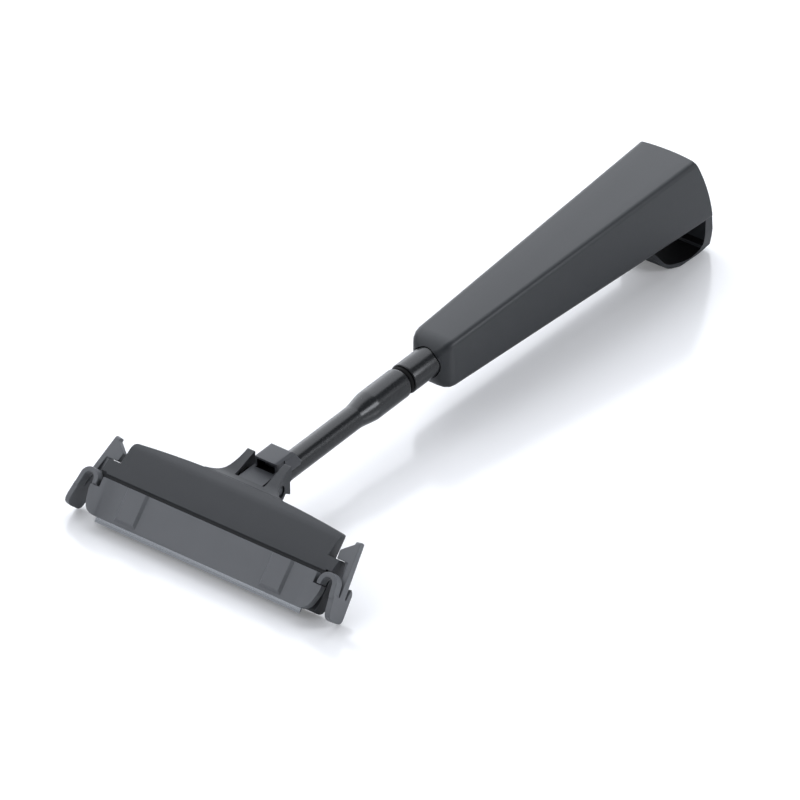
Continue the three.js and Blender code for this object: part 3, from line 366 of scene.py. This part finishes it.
def neck_tree():
    """The neck about its own axis, along Y: a bar whose radius grows from thin to thick over its
    cone, a thinner plug behind it with a bore, and a stem in front."""
    tree, source = new_tree("stepped_neck", (
        "Front", "Rear", "Thin Radius", "Thick Radius", "Cone Front", "Cone Rear", "Rounding",
        "Plug End", "Plug Radius", "Bore Radius", "Bore Depth",
        "Stem Front", "Stem Radius", "Segments"))
    get = source.outputs

    def bar(start, end, radius, count):
        line = add(tree, "GeometryNodeCurvePrimitiveLine",
                   Start=add(tree, "ShaderNodeCombineXYZ", Y=start).outputs[0],
                   End=add(tree, "ShaderNodeCombineXYZ", Y=end).outputs[0])
        fine = add(tree, "GeometryNodeResampleCurve", Curve=line.outputs[0], Count=count)
        circle = add(tree, "GeometryNodeCurvePrimitiveCircle", Resolution=get["Segments"], Radius=1.0)
        return add(tree, "GeometryNodeCurveToMesh", Curve=fine.outputs[0],
                   Profile_Curve=circle.outputs[0], Scale=radius, Fill_Caps=True).outputs[0]

    place = add(tree, "GeometryNodeInputPosition").outputs[0]
    along = add(tree, "ShaderNodeSeparateXYZ", Vector=place).outputs["Y"]
    cone = add(tree, "ShaderNodeMapRange", _0=along, _1=get["Cone Front"], _2=get["Cone Rear"],
               _3=get["Thin Radius"], _4=get["Thick Radius"])
    eased_cone = add(tree, "ShaderNodeMapRange", {"interpolation_type": "SMOOTHSTEP"}, _0=along,
                     _1=math_node(tree, "SUBTRACT", get["Cone Front"], get["Rounding"]),
                     _2=math_node(tree, "ADD", get["Cone Rear"], get["Rounding"]),
                     _3=get["Thin Radius"], _4=get["Thick Radius"])
    both = mean_of(tree, cone.outputs[0], eased_cone.outputs[0])
    end_gap = math_node(tree, "SUBTRACT", get["Rear"], along)
    end_drop = add(tree, "ShaderNodeMapRange", {"interpolation_type": "SMOOTHSTEP"}, _0=end_gap,
                   _1=0.0, _2=get["Rounding"], _3=get["Rounding"], _4=0.0)
    lost = math_node(tree, "MULTIPLY", end_drop.outputs[0], END_SHARE)
    radius = math_node(tree, "SUBTRACT", both, lost)
    body = bar(get["Front"], get["Rear"], radius, FINE_STEPS)
    plug = bar(get["Rear"], get["Plug End"], get["Plug Radius"], END_STEPS)
    stem = bar(get["Stem Front"], get["Front"], get["Stem Radius"], END_STEPS)
    bore = bar(math_node(tree, "SUBTRACT", get["Plug End"], get["Bore Depth"]),
               math_node(tree, "ADD", get["Plug End"], get["Bore Radius"]),
               get["Bore Radius"], END_STEPS)
    whole = add(tree, "GeometryNodeJoinGeometry")
    for piece in (stem, body, plug):
        tree.links.new(piece, whole.inputs[0])
    cut = add(tree, "GeometryNodeMeshBoolean", {"operation": "DIFFERENCE", "solver": "EXACT"})
    tree.links.new(whole.outputs[0], cut.inputs["Mesh 1"])
    tree.links.new(bore, cut.inputs["Mesh 2"])
    cut.inputs["Self Intersection"].default_value = True
    return close_tree(tree, source, cut.outputs[0])


def grown(name, tree, sizes, finish, frame_matrix):
    """The plain mesh that a geometry node tree makes with these sizes, placed in a frame."""
    obj = placed(name, bpy.data.meshes.new(name))
    modifier = obj.modifiers.new("grow", "NODES")
    modifier.node_group = tree
    for item in tree.interface.items_tree:
        if item.in_out == "INPUT":
            modifier[item.identifier] = finish if item.name == "Finish" else sizes[item.name]
    evaluated = obj.evaluated_get(bpy.context.evaluated_depsgraph_get())
    mesh = bpy.data.meshes.new_from_object(evaluated)
    obj.modifiers.remove(modifier)
    mesh.name = name
    work = bmesh.new()
    work.from_mesh(mesh)
    work.transform(frame_matrix)
    bmesh.ops.remove_doubles(work, verts=work.verts, dist=MERGE_DISTANCE)
    bmesh.ops.recalc_face_normals(work, faces=work.faces)
    mark_sharp(work, GROWN_SHARP)
    work.to_mesh(mesh)
    work.free()
    obj.data = mesh
    return obj


def along_neck(place):
    """A frame on the neck's axis whose Z runs along it."""
    turn = Matrix.Rotation(-math.pi / 2, 4, "X")
    return neck_frame @ Matrix.Translation((0, place, 0)) @ turn


RING = ring_tree()
NECK = neck_tree()

# Places along the neck are measured on its axis, from the front of the handle.
neck_sizes = {
    "Front": -85.7 * MM, "Rear": -20.95 * MM, "Thin Radius": 4.3 * MM, "Thick Radius": 5.55 * MM,
    "Cone Front": -46.0 * MM, "Cone Rear": -37.9 * MM, "Rounding": 0.8 * MM, "Plug End": 13.0 * MM,
    "Plug Radius": 4.3 * MM, "Bore Radius": 2.5 * MM, "Bore Depth": 44.0 * MM,
    "Stem Front": -92.9 * MM, "Stem Radius": 2.7 * MM, "Segments": TURNED_SEGMENTS,
}
neck_stem = grown("neck_stem", NECK, neck_sizes, neck_gloss, neck_frame)
stands_for(neck_stem, "neck", "neck_plastic", "neck_tube")

COLLAR_MIDDLE = 1.625 * MM
collar_sizes = {
    "Inner Radius": 4.6 * MM, "Outer Radius": 5.6 * MM, "Width": 40.75 * MM,
    "Rounding": 0.45 * MM, "Segments": TURNED_SEGMENTS,
}
collar = grown("collar", RING, collar_sizes, neck_gloss, along_neck(COLLAR_MIDDLE))
stands_for(collar, "handle", "neck_plastic", "socket_tube")

SEAL_MIDDLE = -19.85 * MM
seal_sizes = {
    "Inner Radius": 4.6 * MM, "Outer Radius": 5.2 * MM, "Width": 1.6 * MM,
    "Rounding": 0.3 * MM, "Segments": TURNED_SEGMENTS,
}
seal = grown("seal", RING, seal_sizes, seal_rubber, along_neck(SEAL_MIDDLE))
stands_for(seal, "neck", "seal_rubber", "seal_ring")


# Levers: the strip of each spring runs on into its lever, in one piece that flexes

LEVER_LEAN = math.radians(9.4)
LEVER_PIVOT_SIDE = 54.8 * MM
LEVER_PIVOT_RISE = -6.0 * MM
LEG_END = -4.7 * MM          # below this on the clip's slope is only the end of the outer leg
LEG_OVERLAP = 1.2 * MM       # how far that end is led on into the lever
SKIN_VOXEL = 0.16 * MM
SKIN_SOFTNESS = 0.5
SKIN_ROUNDS = 5
SKIN_KEPT = 0.3


def joined_lever(side, sign):
    """The CAD spring and lever of one side in one mesh, the spring's end led into the lever."""
    to_clip = clip_frame.inverted()
    led_on = Vector((sign * LEG_OVERLAP * math.tan(LEVER_LEAN), -LEG_OVERLAP, 0))
    work = bmesh.new()
    work.from_mesh(nodes[f"spring_loop_{side}"].data)
    bmesh.ops.remove_doubles(work, verts=work.verts, dist=MERGE_DISTANCE)
    for vert in work.verts:
        here = to_clip @ vert.co
        if here.y < LEG_END:
            vert.co = clip_frame @ (here + led_on)
    work.from_mesh(nodes[f"lever_{side}"].data)
    bmesh.ops.remove_doubles(work, verts=work.verts, dist=MERGE_DISTANCE)
    return work


def add_skin(obj):
    """One even skin over all that an object holds, softened, with fewer faces."""
    skin = obj.modifiers.new("skin", "REMESH")
    skin.mode = "VOXEL"
    skin.voxel_size = SKIN_VOXEL
    skin.use_smooth_shade = True
    soft = obj.modifiers.new("soften", "SMOOTH")
    soft.factor = SKIN_SOFTNESS
    soft.iterations = SKIN_ROUNDS
    fewer = obj.modifiers.new("fewer", "DECIMATE")
    fewer.ratio = SKIN_KEPT


def sprung_lever(side):
    sign = 1 if side == "right" else -1
    pivot = Matrix.Translation((sign * LEVER_PIVOT_SIDE, LEVER_PIVOT_RISE, 0))
    lever_frame = clip_frame @ pivot @ Matrix.Rotation(sign * LEVER_LEAN, 4, "Z")
    work = joined_lever(side, sign)
    work.transform(lever_frame.inverted())
    raw = bpy.data.meshes.new("raw_lever")
    work.to_mesh(raw)
    work.free()
    obj = placed(f"squeeze_lever_{side}", raw)
    add_skin(obj)
    evaluated = obj.evaluated_get(bpy.context.evaluated_depsgraph_get())
    mesh = bpy.data.meshes.new_from_object(evaluated)
    obj.modifiers.clear()
    mesh.name = obj.name
    mesh.transform(lever_frame)
    mesh.materials.clear()
    mesh.materials.append(clip_acetal)
    obj.data = mesh
    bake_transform(obj)
    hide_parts(f"spring_loop_{side}", f"lever_{side}")
    return obj


HANDLE_DEPTH = 48 * MM
CROWN_DEPTH = 9 * MM
# Painted shade in the hollows of the handle and under the cap of the knuckle's crown.
handle_painted_shade = (painted_shade_abs, walls_of("handle_shell", "handle_base"), HANDLE_DEPTH)
crown_painted_shade = (painted_shade_abs, walls_of("knuckle"), CROWN_DEPTH)

eased("handle_skin", "handle_shell", "handle", "handle_plastic", handle_abs, edge=0.35,
      hollow=handle_painted_shade)
eased("handle_cover", "handle_base", "handle", "handle_plastic", handle_abs, edge=0.3,
      hollow=handle_painted_shade)
eased("neck_knuckle", "knuckle", "neck", "knuckle_plastic", knuckle_nylon, edge=0.3,
      hollow=crown_painted_shade)
eased("head_bar", "head_body", "head", "head_plastic", head_nylon, edge=0.35)
eased("front_plate", "clip_plate", "head", "clip_plastic", clip_acetal, edge=0.25)
eased("steel_blade", "blade", "head", "blade_steel", blade_steel, edge=0)
for side in ("left", "right"):
    sprung_lever(side)
    dressed(f"friction_washer_{side}", seal_rubber)
for node in ("base_screw_front", "base_screw_rear", "socket_pin", "knuckle_pin", "hinge_pin"):
    dressed(node, pin_steel)


# Floor and light

BOARD_COLOUR = "#f4f4f5"
BOARD_ROUGHNESS = 0.16
BOARD_IOR = 1.7
BOARD_LIFT = 0.15
BOARD_LIFT_COLOUR = "#fdfeff"
BOARD_REACH = 12.0
BOARD_DROP = 0.02 * MM
STUDIO_COLOUR = "#f6f9ff"
SKY_AT_HORIZON = 0.9
SKY_ABOVE = 0.15
SKY_FADE = 0.5
WHITE = 1.0


def make_floor():
    """A pale gloss board: it takes the shadow and a soft reflection, and is lifted to white for
    the camera by a share of plain light of its own."""
    made, tree = new_material("gloss_white_board")
    path = add(tree, "ShaderNodeLightPath")
    board = add(tree, "ShaderNodeBsdfPrincipled", Base_Color=linear(BOARD_COLOUR),
                Roughness=BOARD_ROUGHNESS, IOR=BOARD_IOR)
    share = math_node(tree, "MULTIPLY", path.outputs["Is Camera Ray"], BOARD_LIFT)
    lift = add(tree, "ShaderNodeEmission", Color=linear(BOARD_LIFT_COLOUR), Strength=share)
    both = add(tree, "ShaderNodeAddShader", _0=board.outputs[0], _1=lift.outputs[0])
    out = add(tree, "ShaderNodeOutputMaterial")
    tree.links.new(both.outputs[0], out.inputs["Surface"])
    signs = ((-1, -1), (1, -1), (1, 1), (-1, 1))
    corners = [(x * BOARD_REACH, y * BOARD_REACH, 0) for x, y in signs]
    mesh = bpy.data.meshes.new("floor")
    mesh.from_pydata(corners, [], [(0, 1, 2, 3)])
    mesh.materials.append(made)
    floor = placed("floor", mesh)
    floor.location.z = -BOARD_DROP


def make_world():
    """An even grey studio, lighter towards the horizon, and white for the camera."""
    world = bpy.data.worlds.new("studio")
    world.use_nodes = True
    tree = world.node_tree
    tree.nodes.clear()
    path = add(tree, "ShaderNodeLightPath")
    seen = math_node(tree, "MAXIMUM", path.outputs["Is Camera Ray"],
                     path.outputs["Is Transmission Ray"])
    way = add(tree, "ShaderNodeTexCoord")
    height = add(tree, "ShaderNodeSeparateXYZ", Vector=way.outputs["Generated"])
    sky = add(tree, "ShaderNodeMapRange", _0=height.outputs["Z"], _1=0.0, _2=SKY_FADE,
              _3=SKY_AT_HORIZON, _4=SKY_ABOVE)
    level = add(tree, "ShaderNodeMix", {"data_type": "FLOAT"}, _0=seen, _2=sky.outputs[0], _3=WHITE)
    back = add(tree, "ShaderNodeBackground", Color=linear(STUDIO_COLOUR), Strength=level.outputs[0])
    out = add(tree, "ShaderNodeOutputWorld")
    tree.links.new(back.outputs[0], out.inputs["Surface"])
    bpy.context.scene.world = world


def softbox(name, way, distance, size, watts, target=(0, 0, 0)):
    """A square area light, set off from its target along a way, in metres and watts."""
    data = bpy.data.lights.new(name, "AREA")
    data.shape = "SQUARE"
    data.size = size
    data.energy = watts
    data.color = linear(STUDIO_COLOUR)[:3]
    light = placed(name, data)
    aim(light, Vector(target) + Vector(way).normalized() * distance, target)
    return light


make_floor()
make_world()
# The key lamp is behind on the left, where the tops of handle, crown and head mirror it.
softbox("key_softbox", way=(-0.52, 0.50, 0.62), distance=1.8, size=2.8, watts=52)
# The front lamp is on the left, where the sloping clip plate and the blade mirror it.
softbox("front_softbox", way=(-0.45, -0.55, 0.70), distance=2.0, size=1.6, watts=12)
# A small lamp on the right, where the cone of the neck mirrors it as a short bright patch. It
# also fills the handle's shadow.
NECK_CONE = (0.004, -0.048, 0.022)
softbox("cone_softbox", way=(0.83, 0.345, 0.44), distance=1.2, size=0.45, watts=4.5,
        target=NECK_CONE)

bpy.context.scene.view_settings.view_transform = "Standard"
